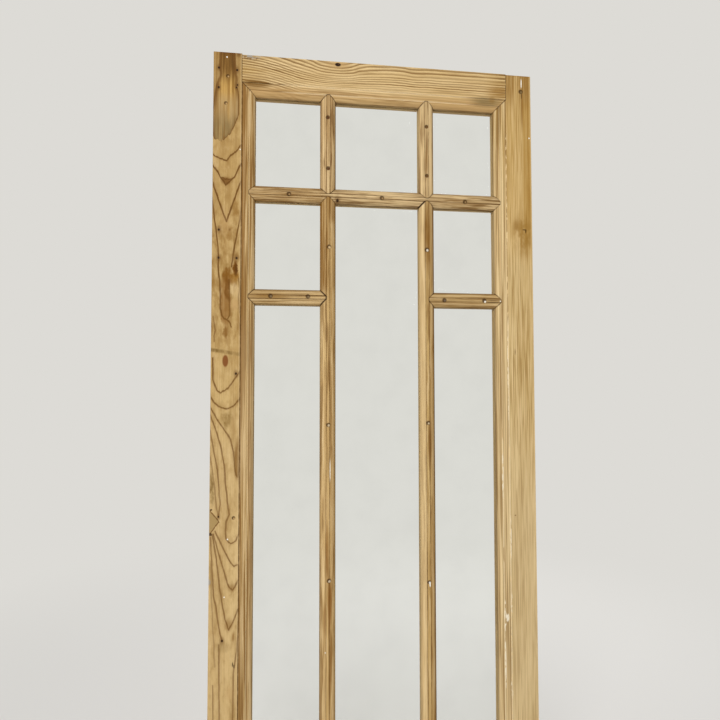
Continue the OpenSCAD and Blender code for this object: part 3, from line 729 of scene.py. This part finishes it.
def right_stile_pine():
    """Straight-grained stile, ochre at the top, with two knots and old white paint in the quirks."""
    board = Board("right stile pine", True)
    u = board.x - SIGHT_X
    ring = straight(board, 4.8 * MM, lean=0.6, sway=8 * MM, seed=21.0)
    lines = ring_lines(board, ring, 21.0, 0.2) * board.z.ramp(1.3, 1.9, 0.4, 0.65)
    tones = (srgb(216, 189, 137), srgb(193, 163, 108), srgb(140, 104, 48))
    lay_pine(board, tones, lines, 21.0, bands=0.5, fibre=0.35, dashes=0.5)
    streak = board.noise(4, 140, detail=3.0, seed=22.0, roughness=0.62)
    upper = board.z.ramp(1.48, 1.60) * board.front
    warm = upper * (board.x + streak * (24 * MM)).ramp(0.359, 0.375) * board.z.ramp(1.90, 1.94, 1.0, 0.3)
    board.tint(OCHRE, warm * streak.ramp(0.3, 0.6, 0.45, 0.9))
    board.tint(HEARTWOOD, warm * streak.ramp(0.5, 0.62) * 0.6)
    board.tint(OCHRE, upper * streak.ramp(0.45, 0.62) * 0.15)
    board.tint(HONEY_PINE, upper * board.x.ramp(0.345, 0.365, 0.25, 0.12))
    board.tint(srgb(208, 187, 148), board.z.ramp(0.8, 1.25, 0.3, 0.0) * board.front)
    head = board.z.ramp(1.87, 1.95) * board.front
    board.tint(HEARTWOOD, head * streak.ramp(0.35, 0.58, 0.15, 0.85))
    board.tint(HEARTWOOD, board.z.ramp(1.972, 1.979) * board.front * 0.6)
    board.stain(LATEWOOD, (358, 1890, 2.6, 42, 0.7), 0.6)
    swirl = board.noise(26, 60, detail=3.0, seed=23.0, roughness=0.6)
    stain = board.spot(357, 1583, 25, 44, 0.6) * board.front
    board.tint(srgb(150, 112, 50), stain * swirl.ramp(0.36, 0.6, 0.1, 0.8))
    board.stain(srgb(144, 104, 44), (339, 1604, 6, 12, 0.7), 0.5)
    reed = board.noise(3, 280, detail=1.0, seed=28.0)
    on_moulding = frame_moulding(board, u, reed, 24.0, srgb(126, 92, 42), 0.85, srgb(236, 211, 160))
    board.tint(PALE_PINE, on_moulding * streak.ramp(0.6, 0.4, 0.0, 0.35))
    board.tint(PALE_PINE, on_moulding * board.z.ramp(1.45, 1.65, 0.16, 0.04))
    pale_painted_quirk(board, u, 0.3)
    quirk_dirt_and_shade(board, u, 0.0, 0.1, 0.45)
    right_stile_paint(board, u)
    dirt_and_shade_line(board, stile_joints(board, u))
    filled_nails(board, ((355.8, 1937),), GREY_BROWN, 5.0, 0.55)
    board.stain(NAIL_BLACK, (357, 1927, 1.3, 7, 0.5), 0.7)
    star = strongest([board.spot(364, 1591, 1.6, 5, 0.5), board.spot(361, 1594, 5, 1.3, 0.5)])
    board.tint(DIRT_AND_SHADOW_BROWN, star * 0.85)
    scars = [board.spot(333, 1296, 1.2, 7, 0.5), board.spot(329, 906, 1.8, 1.6, 0.5)]
    board.tint(DEEP_LATEWOOD_AND_SHADE, strongest(scars) * 0.7)
    paint_specks(board, ((357, 1958, 1.3, 11), (375.6, 1822, 1.5, 2)))
    edge = u.near(LEAF_W / 2 - SIGHT_X - 1.0 * MM, 0.8 * MM, MM) * board.front
    board.tint(PALE_PINE, edge * 0.6)
    return board.finish()


# How far the grain lines of the top rail stand off level at each x: in its upper part and above the lights
RAIL_UPPER = (
    (-381, 30), (-290, 24), (-242, 15.5), (-200, 4), (-161, -6.3), (-122, -18.4), (-98, -20.2),
    (-74, -17.6), (-37, -6), (-3, -1.5), (53, 0.8), (90, -2), (127, 0), (381, 1),
)
RAIL_LOWER = (
    (-381, 23), (-290, 20.6), (-246, 15.9), (-208, 8.1), (-151, 0.3), (-83, 2), (-38, 0), (381, -1),
)


def top_rail_pine():
    """Rail with wavy grain that falls from the left and dips under a small dark knot."""
    board = Board("top rail pine", False)
    u = board.z - TOP_SIGHT
    high = board.z.ramp(1.908, 1.962, smooth=False)
    upper = board.x.curve(RAIL_UPPER)
    lower = board.x.curve(RAIL_LOWER)
    jitter = (board.noise(22, 110, detail=2.0, seed=31.0) - 0.5) * (3.2 * MM)
    down = LEAF_H - board.z + lower + (upper - lower) * high + jitter - board.depth * 0.4
    ring = down * 112 + (down - 30 * MM).most(0.0) * 62
    lines = ring_lines(board, ring, 31.0, 0.45, 0.7)
    tones = (srgb(226, 198, 147), srgb(211, 180, 126), srgb(122, 86, 38))
    lay_pine(board, tones, lines, 31.0, bands=0.2, fibre=0.15)
    ochre_ends = abs(board.x).ramp(0.245, 0.312) * board.front
    board.tint(OCHRE, ochre_ends * board.fibres.ramp(0.4, 0.6, 0.2, 0.55))
    dark_line = srgb(96, 62, 22)
    board.tint(dark_line, lines * board.x.ramp(0.275, 0.315) * board.front * 0.7)
    board.tint(dark_line, lines * board.x.ramp(-0.24, -0.14, 0.4, 0.0) * board.front)
    on_moulding = u.ramp(QUIRK, MOULDING, 1.0, 0.0) * board.front
    board.tint(TAN_PINE, on_moulding * abs(board.x + 0.01).ramp(0.1, 0.2, 0.6, 0.85))
    reed = board.noise(9, 210, detail=3.0, seed=34.0, roughness=0.6)
    board.tint(srgb(132, 96, 50), on_moulding * reed.ramp(0.5, 0.64) * 0.55)
    board.stain(srgb(118, 82, 32), (-284, 1912, 30, 8, 0.5), board.fibres.ramp(0.3, 0.6, 0.5, 0.95))
    board.stain(HEARTWOOD, (-222, 1899, 30, 4, 0.7), 0.45)
    board.stain(GREY_BROWN, (268, 1906, 32, 10, 0.7), board.fibres.ramp(0.3, 0.6, 0.4, 0.95))
    board.stain(HEARTWOOD, (282, 1912, 7, 8, 0.6), 0.5)
    board.stain(srgb(150, 110, 50), (300, 1932, 26, 14, 0.8), board.fibres.ramp(0.35, 0.6, 0.3, 0.9))
    torn = board.noise(90, 160, detail=3.0, seed=33.0, roughness=0.6)
    board.stain(WEATHERED, (-298, 1976, 22, 7, 0.4), torn.ramp(0.45, 0.55, 0.15, 0.9))
    board.stain(DEEP_LATEWOOD_AND_SHADE, (-300, 1971, 24, 5, 0.5), torn.ramp(0.48, 0.4) * 0.7)
    # Paler colour painted into both quirks of the rail against their shade, mostly away from its ends
    rail_quirks_painted_pale = u.near(OUTER_QUIRK, 0.9 * MM, 0.6 * MM).most(u.near(INNER_QUIRK, 0.8 * MM, 0.6 * MM))
    rail_quirks_painted_pale = rail_quirks_painted_pale * board.x.ramp(-0.25, -0.19) * board.x.ramp(0.20, 0.25, 0.7, 0.1)
    board.tint(srgb(246, 226, 184), rail_quirks_painted_pale * board.front)
    quirk_dirt_and_shade(board, u, 0.0, 0.0, 0.35)
    dirt_and_shade_line(board, rail_joints(board, u))
    board.stain(TAN_PINE, (-95.6, 1971, 22, 9, 0.6), 0.6)
    knot = board.spot(-95.6, 1971.5, 6.8, 4.3, 0.25)
    board.tint(srgb(40, 22, 12), knot)
    board.stain(DEEP_LATEWOOD_AND_SHADE, (-94, 1972, 2, 1.2, 0.6), 0.5)
    board.sink(knot, 0.3 * MM)
    return board.finish()


def bottom_rail_pine():
    """Plain straight-grained rail."""
    board = Board("bottom rail pine", False)
    u = BOTTOM_SIGHT - board.z
    lines = ring_lines(board, straight(board, 6 * MM, lean=0.4, sway=30 * MM, seed=41.0), 41.0)
    tones = (srgb(216, 187, 137), srgb(198, 166, 114), srgb(146, 108, 58))
    lay_pine(board, tones, lines * 0.8, 41.0, bands=0.3, fibre=0.2)
    quirk_dirt_and_shade(board, u, 0.2, 0.2, 0.5)
    dirt_and_shade_line(board, rail_joints(board, u))
    return board.finish()


# Sight edges that the upright bars end on: height, and 1 where the bar points up or -1 where it points down
UPPER_ENDS = ((TOP_SIGHT, 1), (CROSS_Z + HALF_BAR, -1))
LOWER_ENDS = ((CROSS_Z - HALF_BAR, 1), (BOTTOM_SIGHT, -1))

# Painted shade at the two sight edges of a margin bar, and how streaky it is
MARGIN_LOOK = {"sight_shades": (0.25, 0.6), "streaky": 0.5}


def bar_board(name, upright, middle, tones, seed, ends, crossings,
              light_and_shade_halves=(0.0, 0.0), sight_shades=(0.3, 0.5), streaky=0.7):
    """A glazing bar: close grain, strip lines of dirt and painted shade, painted shade at the sight edges,
    painted highlights on the flanks, dark joint lines, and a painted lighter and darker half.
    """
    board = Board(name, upright)
    side = board.across - middle
    u = HALF_BAR - abs(side)
    ring = straight(board, 4.2 * MM, lean=0.7, sway=10 * MM, seed=seed)
    lines = ring_lines(board, ring, seed, 0.1)
    lay_pine(board, tones, lines * 0.85, seed, bands=0.6, fibre=0.3, dashes=0.2)
    wavy = board.noise(8, 160, detail=3.0, seed=seed + 9.0, roughness=0.6)
    board.tint(tones[2], wavy.ramp(0.51, 0.66) * streaky)
    board.tint(PALE_PINE, wavy.ramp(0.44, 0.32) * (streaky * 0.8))
    # Painted highlight along both flanks, broken up by the streaks
    board.tint(PALE_PINE, u.near(7 * MM, 1.2 * MM, 3 * MM) * board.front * wavy.ramp(0.58, 0.4, 0.0, 0.45))
    # Painted light and shade: the - half paler and the + half darker
    board.tint(PALE_PINE, side.ramp(-STRIP - MM, -STRIP, 1.0, 0.0) * board.front * light_and_shade_halves[0])
    board.tint(LATEWOOD, side.ramp(STRIP - 2 * MM, STRIP + MM) * board.front * light_and_shade_halves[1])
    # Dark lines in the quirks beside the strip: dirt with painted shade, heavier on the + side
    dirt_and_shade_line(board, crease(side - STRIP - 0.7 * MM, 1.6 * MM) * board.front, 0.55, 0.0, DEEP_LATEWOOD_AND_SHADE)
    dirt_and_shade_line(board, crease(side + STRIP + 0.7 * MM, 1.6 * MM) * board.front, 0.4, 0.0, DEEP_LATEWOOD_AND_SHADE)
    # Painted shadow at each sight edge and painted shade across the flank near it, by each side's own
    # amount
    sight = side.ramp(-MM, MM, sight_shades[0], sight_shades[1])
    board.tint(DIRT_AND_SHADOW_BROWN, u.ramp(0.3 * MM, 2.6 * MM, 1.0, 0.0) * board.front * sight)
    board.tint(DEEP_LATEWOOD_AND_SHADE, u.ramp(2 * MM, 7 * MM, 1.0, 0.0) * board.front * (sight * sight))
    joints = [pointed_cut(side, (board.along - at) * sign, 1.6 * MM) for at, sign in ends]
    for at, sign in crossings:
        joints.append(pointed_cut(board.along - at, u, 1.6 * MM) * (side * sign).ramp(0.0, MM))
    dirt_and_shade_line(board, strongest(joints) * board.front, 0.8)
    return board


def open_mitre(board):
    """Distances below the cross bar's middle and off the mitre that stands open at the long right bar."""
    below = CROSS_Z - board.z
    return below, (UPRIGHT_X - board.x - below) * DIAGONAL


def cross_bar_pine():
    """Cross bar with dark wavy streaks, three stopped nails, a nail hole and an open joint."""
    ends = ((-SIGHT_X, -1), (SIGHT_X, 1))
    crossings = [(x, sign) for x in (-UPRIGHT_X, UPRIGHT_X) for sign in (-1, 1)]
    tones = (srgb(214, 186, 138), srgb(187, 157, 110), srgb(110, 79, 42))
    # Its lower sight edge gets more painted shade than its upper one
    board = bar_board("cross bar pine", False, CROSS_Z, tones, 51.0, ends, crossings, sight_shades=(0.45, 0.3))
    dusky = board.x.ramp(-0.14, -0.11, 1.0, 0.0).most(board.x.ramp(0.13, 0.16, 0.0, 0.5))
    board.tint(HEARTWOOD, dusky * board.front * board.fibres.ramp(0.3, 0.62, 0.15, 0.6))
    wave = board.noise(13, 290, detail=2.0, seed=52.0, roughness=0.6)
    board.tint(DEEP_LATEWOOD_AND_SHADE, wave.ramp(0.52, 0.63) * board.front * board.x.ramp(-0.14, -0.10, 0.65, 0.45))
    board.tint(PALE_PINE, wave.ramp(0.48, 0.39) * board.front * board.x.ramp(-0.14, -0.10, 0.35, 0.6))
    filled_nails(board, ((-208.8, 1658.3), (9.1, 1658.3), (212, 1657.3)), srgb(162, 130, 86), 4.8, 0.42)
    board.stain(PALE_PINE, (-16, 1660, 14, 1.6, 0.4), 0.9)
    nail_holes(board, ((-96.4, 1648),), 3.2)
    below, gap = open_mitre(board)
    open_joint = gap.near(0.0, 1.6 * MM, 1.6 * MM) * below.ramp(3 * MM, 4 * MM)
    open_joint = open_joint * board.x.ramp(UPRIGHT_X - MM, UPRIGHT_X, 1.0, 0.0)
    board.tint(NAIL_BLACK, open_joint * board.front * 0.9)
    return board.finish()


def left_margin_bar_pine():
    """Left margin bar with two stopped nails and an open joint at its right tip."""
    ends = ((-SIGHT_X, -1), (-UPRIGHT_X - HALF_BAR, 1))
    tones = (srgb(208, 177, 124), srgb(176, 143, 92), srgb(112, 80, 40))
    board = bar_board("left margin bar pine", False, MARGIN_Z, tones, 55.0, ends, (), **MARGIN_LOOK)
    board.stain(HEARTWOOD, (-255, 1420, 36, 5, 0.8), 0.6)
    filled_nails(board, ((-249.7, 1420.4), (-164.4, 1420.9)), srgb(128, 108, 78), 4.8, 0.5)
    past = board.x + UPRIGHT_X + HALF_BAR
    gap = pointed_cut(board.z - MARGIN_Z, past, 4 * MM) * past.ramp(-2 * MM, 2 * MM)
    board.tint(NAIL_BLACK, gap * board.front * 0.9)
    return board.finish()


def right_margin_bar_pine():
    """Right margin bar with a stopped nail, a nail with white filler and a crack from it to the tip."""
    ends = ((UPRIGHT_X + HALF_BAR, -1), (SIGHT_X, 1))
    tones = (srgb(206, 175, 120), srgb(174, 140, 88), srgb(116, 83, 42))
    board = bar_board("right margin bar pine", False, MARGIN_Z, tones, 58.0, ends, (), **MARGIN_LOOK)
    filled_nails(board, ((159.3, 1418), (258, 1418.8)), srgb(112, 96, 80), 4.8, 0.5)
    crack = strongest([board.spot(279, 1414.8, 19, 0.9, 0.4), board.spot(279, 1419.6, 17, 0.7, 0.4)])
    board.tint(DIRT_AND_SHADOW_BROWN, crack * board.front * 0.8)
    paint_specks(board, ((259.8, 1416.0, 2.4, 2.4), (298, 1418, 1.4, 1.4)))
    return board.finish()


def upper_left_bar_pine():
    """Upper left bar with two rusty nail heads and dark specks at its strip."""
    tones = (srgb(214, 183, 132), srgb(186, 152, 102), srgb(110, 76, 36))
    board = bar_board("upper left bar pine", True, -UPRIGHT_X, tones, 61.0, UPPER_ENDS, (), (0.15, 0.05))
    specks = ((-127.8, 1737, 1.4, 11), (-112, 1736, 1.6, 9), (-110.4, 1749, 1.5, 12), (-105, 1812, 1.2, 8))
    board.tint(DEEP_LATEWOOD_AND_SHADE, strongest([board.spot(*speck, 0.6) for speck in specks]) * 0.65)
    filled_nails(board, ((-119, 1844), (-118, 1722.6)), srgb(92, 54, 24), 4.4)
    return board.finish()


def upper_right_bar_pine():
    """Upper right bar with a crack along its strip between two rusty nail heads."""
    tones = (srgb(217, 188, 138), srgb(197, 166, 116), srgb(120, 86, 42))
    board = bar_board("upper right bar pine", True, UPRIGHT_X, tones, 64.0, UPPER_ENDS, (), (0.1, 0.0))
    crack = strongest([board.spot(117.5, 1765, 1.2, 48, 0.5), board.spot(119, 1798, 0.9, 30, 0.5)])
    board.tint(DEEP_LATEWOOD_AND_SHADE, crack * board.front * 0.8)
    board.stain(HEARTWOOD, (118, 1748, 5, 36, 0.8), 0.4)
    filled_nails(board, ((117.9, 1835.7), (118.4, 1716.4)), srgb(112, 76, 38), 4.2)
    return board.finish()


def lower_left_bar_pine():
    """Long left bar: brown above the margin bar, with three stopped nails, streaks and a white scratch."""
    tones = (srgb(214, 181, 123), srgb(193, 158, 102), srgb(118, 82, 36))
    crossings = ((MARGIN_Z, -1),)
    light_and_shade_halves = (0.1, 0.1)
    board = bar_board("lower left bar pine", True, -UPRIGHT_X, tones, 67.0, LOWER_ENDS, crossings, light_and_shade_halves)
    left_half = (board.x + UPRIGHT_X).ramp(-3 * MM, 4 * MM, 1.0, 0.3).most(board.z.ramp(1.58, 1.61))
    brown = board.z.ramp(1.40, 1.46) * left_half * board.front
    streak = board.noise(6, 250, detail=2.0, seed=68.0)
    board.tint(srgb(130, 91, 38), brown * streak.ramp(0.4, 0.58, 0.2, 0.95))
    board.stain(srgb(140, 96, 42), (-120, 840, 3.5, 60, 0.6), 0.6)
    board.stain(srgb(132, 88, 36), (-113.5, 722, 5, 50, 0.5), board.fibres.ramp(0.3, 0.6, 0.6, 0.95))
    board.stain(srgb(138, 96, 42), (-125, 690, 3.6, 34, 0.6), 0.6)
    board.stain(srgb(138, 96, 42), (-111, 590, 3.4, 60, 0.6), 0.5)
    filled_nails(board, ((-115.5, 1537.6),), srgb(214, 184, 136), 4.8, 0.62)
    filled_nails(board, ((-117, 1125.3),), CREAM_FILLER, 4.4, 0.6)
    filled_nails(board, ((-115, 772.6),), srgb(226, 206, 176), 4.6)
    paint_specks(board, ((-113, 1022, 0.9, 24), (-123.5, 613, 1.2, 1.6)))
    return board.finish()


def lower_right_bar_pine():
    """Long right bar: painted light on the left half, painted shade on the right half and its right edge,
    nails with filler, brown stains below them.
    """
    tones = (srgb(214, 184, 126), srgb(188, 154, 96), srgb(122, 86, 40))
    crossings = ((MARGIN_Z, 1),)
    # Painted light and shade: a paler left half, a darker right half, and heavy painted shade at the right
    # sight edge
    look = ((0.45, 0.35), (0.12, 0.8))
    board = bar_board("lower right bar pine", True, UPRIGHT_X, tones, 70.0, LOWER_ENDS, crossings, *look)
    board.stain(srgb(128, 88, 34), (118.5, 1580, 7, 85, 0.6), board.fibres.ramp(0.3, 0.6, 0.5, 0.95))
    board.stain(srgb(118, 78, 28), (121.5, 1078, 4.2, 50, 0.6), 0.85)
    below, gap = open_mitre(board)
    open_joint = gap.near(0.0, 0.8 * MM, 0.8 * MM) * below.ramp(19 * MM, 20 * MM, 1.0, 0.0)
    board.tint(NAIL_BLACK, open_joint * board.front * 0.9)
    filled_nails(board, ((117.3, 1537.6),), srgb(232, 222, 200), 4.8)
    filled_nails(board, ((118, 1127.3),), CREAM_FILLER, 4.4, 0.5)
    filled_nails(board, ((118.5, 758.5),), OLD_PAINT, 4.0, 0.6)
    paint_specks(board, ((120, 753, 1.6, 5),))
    return board.finish()


def bead_pine(name, upright, seed):
    """Plain glazing bead."""
    board = Board(name, upright)
    lines = ring_lines(board, straight(board, 3.4 * MM, seed=seed), seed)
    tones = (srgb(206, 176, 124), srgb(186, 154, 104), srgb(140, 104, 56))
    lay_pine(board, tones, lines * 0.7, seed)
    return board.finish()


def wedge_pine():
    """Tenon wedges: end grain at the stiles' edges."""
    board = Board("tenon wedge pine", False)
    lines = ring_lines(board, straight(board, 2.4 * MM, seed=81.0), 81.0)
    lay_pine(board, (srgb(184, 150, 98), srgb(164, 130, 82), LATEWOOD), lines, 81.0)
    return board.finish()


def cover(node_name, material):
    """Gives a CAD piece one material all over."""
    mesh = node_of[node_name].data
    mesh.materials.clear()
    mesh.materials.append(material)


def clear_glass():
    """Clear window glass with a faint film of dust: lamps and sight pass through it."""
    material = bpy.data.materials.new("clear glass")
    material.use_nodes = True
    tree = material.node_tree
    tree.nodes.clear()
    place = tree.nodes.new("ShaderNodeTexCoord")
    film = tree.nodes.new("ShaderNodeTexNoise")
    film.inputs["Scale"].default_value = 14.0
    film.inputs["Detail"].default_value = 4.0
    tree.links.new(place.outputs["Object"], film.inputs["Vector"])
    dust = Shade(tree, film.outputs[0]).ramp(0.35, 0.8)
    gleam = tree.nodes.new("ShaderNodeBsdfGlossy")
    feed(tree, gleam.inputs["Roughness"], dust * 0.08 + 0.01)
    clear = tree.nodes.new("ShaderNodeBsdfTransparent")
    feed(tree, clear.inputs["Color"], blended(tree, srgb(254, 255, 254), srgb(252, 253, 252), dust))
    fresnel = tree.nodes.new("ShaderNodeFresnel")
    fresnel.inputs["IOR"].default_value = 1.45
    mix = tree.nodes.new("ShaderNodeMixShader")
    feed(tree, mix.inputs[0], Shade(tree, fresnel.outputs[0]) * 0.5)
    tree.links.new(clear.outputs[0], mix.inputs[1])
    tree.links.new(gleam.outputs[0], mix.inputs[2])
    out = tree.nodes.new("ShaderNodeOutputMaterial")
    tree.links.new(mix.outputs[0], out.inputs["Surface"])
    return material


def dress_door():
    """Gives every CAD piece its own material."""
    cover("left_stile", left_stile_pine())
    cover("right_stile", right_stile_pine())
    cover("top_rail", top_rail_pine())
    cover("bottom_rail", bottom_rail_pine())
    cover("cross_bar", cross_bar_pine())
    cover("left_margin_bar", left_margin_bar_pine())
    cover("right_margin_bar", right_margin_bar_pine())
    cover("upper_left_bar", upper_left_bar_pine())
    cover("upper_right_bar", upper_right_bar_pine())
    cover("lower_left_bar", lower_left_bar_pine())
    cover("lower_right_bar", lower_right_bar_pine())
    cover("tenon_wedges", wedge_pine())
    upright_bead = bead_pine("upright bead pine", True, 73.0)
    level_bead = bead_pine("level bead pine", False, 76.0)
    glass = clear_glass()
    for name in node_of:
        if name.endswith("glass"):
            cover(name, glass)
        elif name.endswith(("left_bead", "right_bead")):
            cover(name, upright_bead)
        elif name.endswith("bead"):
            cover(name, level_bead)


def make_floor():
    """Pale floor under the leaf that turns into the backdrop's colour further out."""
    half = 9.0
    mesh = bpy.data.meshes.new("studio floor")
    corners = [(-half, -half, 0), (half, -half, 0), (half, half, 0), (-half, half, 0)]
    mesh.from_pydata(corners, [], [(0, 1, 2, 3)])
    floor = bpy.data.objects.new("studio_floor", mesh)
    bpy.context.scene.collection.objects.link(floor)
    material = bpy.data.materials.new("studio floor")
    material.use_nodes = True
    tree = material.node_tree
    lit = tree.nodes["Principled BSDF"]
    lit.inputs["Base Color"].default_value = srgb(222, 220, 216)
    lit.inputs["Roughness"].default_value = 0.9
    place = tree.nodes.new("ShaderNodeTexCoord")
    far = tree.nodes.new("ShaderNodeVectorMath")
    far.operation = "LENGTH"
    tree.links.new(place.outputs["Object"], far.inputs[0])
    fade = Shade(tree, far.outputs["Value"]).ramp(0.6, 3.2)
    even = tree.nodes.new("ShaderNodeEmission")
    even.inputs["Color"].default_value = BACKDROP
    mix = tree.nodes.new("ShaderNodeMixShader")
    feed(tree, mix.inputs[0], fade * seen_background(tree))
    tree.links.new(lit.outputs[0], mix.inputs[1])
    tree.links.new(even.outputs[0], mix.inputs[2])
    tree.links.new(mix.outputs[0], tree.nodes["Material Output"].inputs["Surface"])
    mesh.materials.append(material)


def seen_background(tree):
    """1 where the background is looked at, directly, in a gleam or through glass."""
    path = tree.nodes.new("ShaderNodeLightPath")
    seen = Shade(tree, path.outputs["Is Camera Ray"])
    seen = seen.most(Shade(tree, path.outputs["Is Glossy Ray"]))
    return seen.most(Shade(tree, path.outputs["Is Transmission Ray"]))


def make_world():
    """Even studio light, with a pale wall colour where the camera looks past the floor."""
    world = bpy.data.worlds.new("studio")
    bpy.context.scene.world = world
    world.use_nodes = True
    tree = world.node_tree
    tree.nodes.clear()
    light = tree.nodes.new("ShaderNodeBackground")
    light.inputs["Color"].default_value = (1.0, 1.0, 1.0, 1.0)
    light.inputs["Strength"].default_value = 0.5
    wall = tree.nodes.new("ShaderNodeBackground")
    wall.inputs["Color"].default_value = BACKDROP
    wall.inputs["Strength"].default_value = 1.0
    mix = tree.nodes.new("ShaderNodeMixShader")
    feed(tree, mix.inputs[0], seen_background(tree))
    tree.links.new(light.outputs[0], mix.inputs[1])
    tree.links.new(wall.outputs[0], mix.inputs[2])
    out = tree.nodes.new("ShaderNodeOutputWorld")
    tree.links.new(mix.outputs[0], out.inputs["Surface"])


def make_lamp(name, place, aim, size, power):
    """A round soft lamp that points at a place."""
    lamp = bpy.data.lights.new(name, "AREA")
    lamp.shape = "DISK"
    lamp.size = size
    lamp.energy = power
    holder = bpy.data.objects.new(name, lamp)
    bpy.context.scene.collection.objects.link(holder)
    holder.location = place
    holder.rotation_euler = (Vector(aim) - Vector(place)).to_track_quat("-Z", "Y").to_euler()


# Width of the photograph and how far its middle lies off the lens axis, in pixels
PHOTO_WIDTH = 720
PHOTO_SHIFT = 2


def make_camera():
    """The photograph's view, fitted to the leaf's corners, sight edges and bars."""
    camera = bpy.data.cameras.new("photograph")
    camera.sensor_width = 36.0
    camera.lens = 27.25
    camera.shift_x = -PHOTO_SHIFT / PHOTO_WIDTH
    holder = bpy.data.objects.new("photograph", camera)
    bpy.context.scene.collection.objects.link(holder)
    pitch, yaw, roll = -0.0399, -0.1305, 0.0040
    turn = Matrix.Rotation(roll, 3, "Z") @ Matrix.Rotation(yaw, 3, "Y") @ Matrix.Rotation(pitch, 3, "X")
    axes = turn @ Matrix(((1, 0, 0), (0, 0, -1), (0, 1, 0)))
    right = axes[0]
    up = -axes[1]
    back = -axes[2]
    place = Vector((-0.2039, -1.2705, 1.2248))
    holder.matrix_world = Matrix((
        (right[0], up[0], back[0], place[0]),
        (right[1], up[1], back[1], place[1]),
        (right[2], up[2], back[2], place[2]),
        (0, 0, 0, 1),
    ))
    bpy.context.scene.camera = holder


dress_door()
make_floor()
make_world()
make_lamp("window", (-1.9, -4.5, 3.2), (0, 0, 1.1), 2.6, 168)
make_lamp("back fill", (1.5, 3.2, 2.6), (0, 0, 1.0), 2.2, 70)
make_camera()
bpy.context.scene.view_settings.view_transform = "Standard"
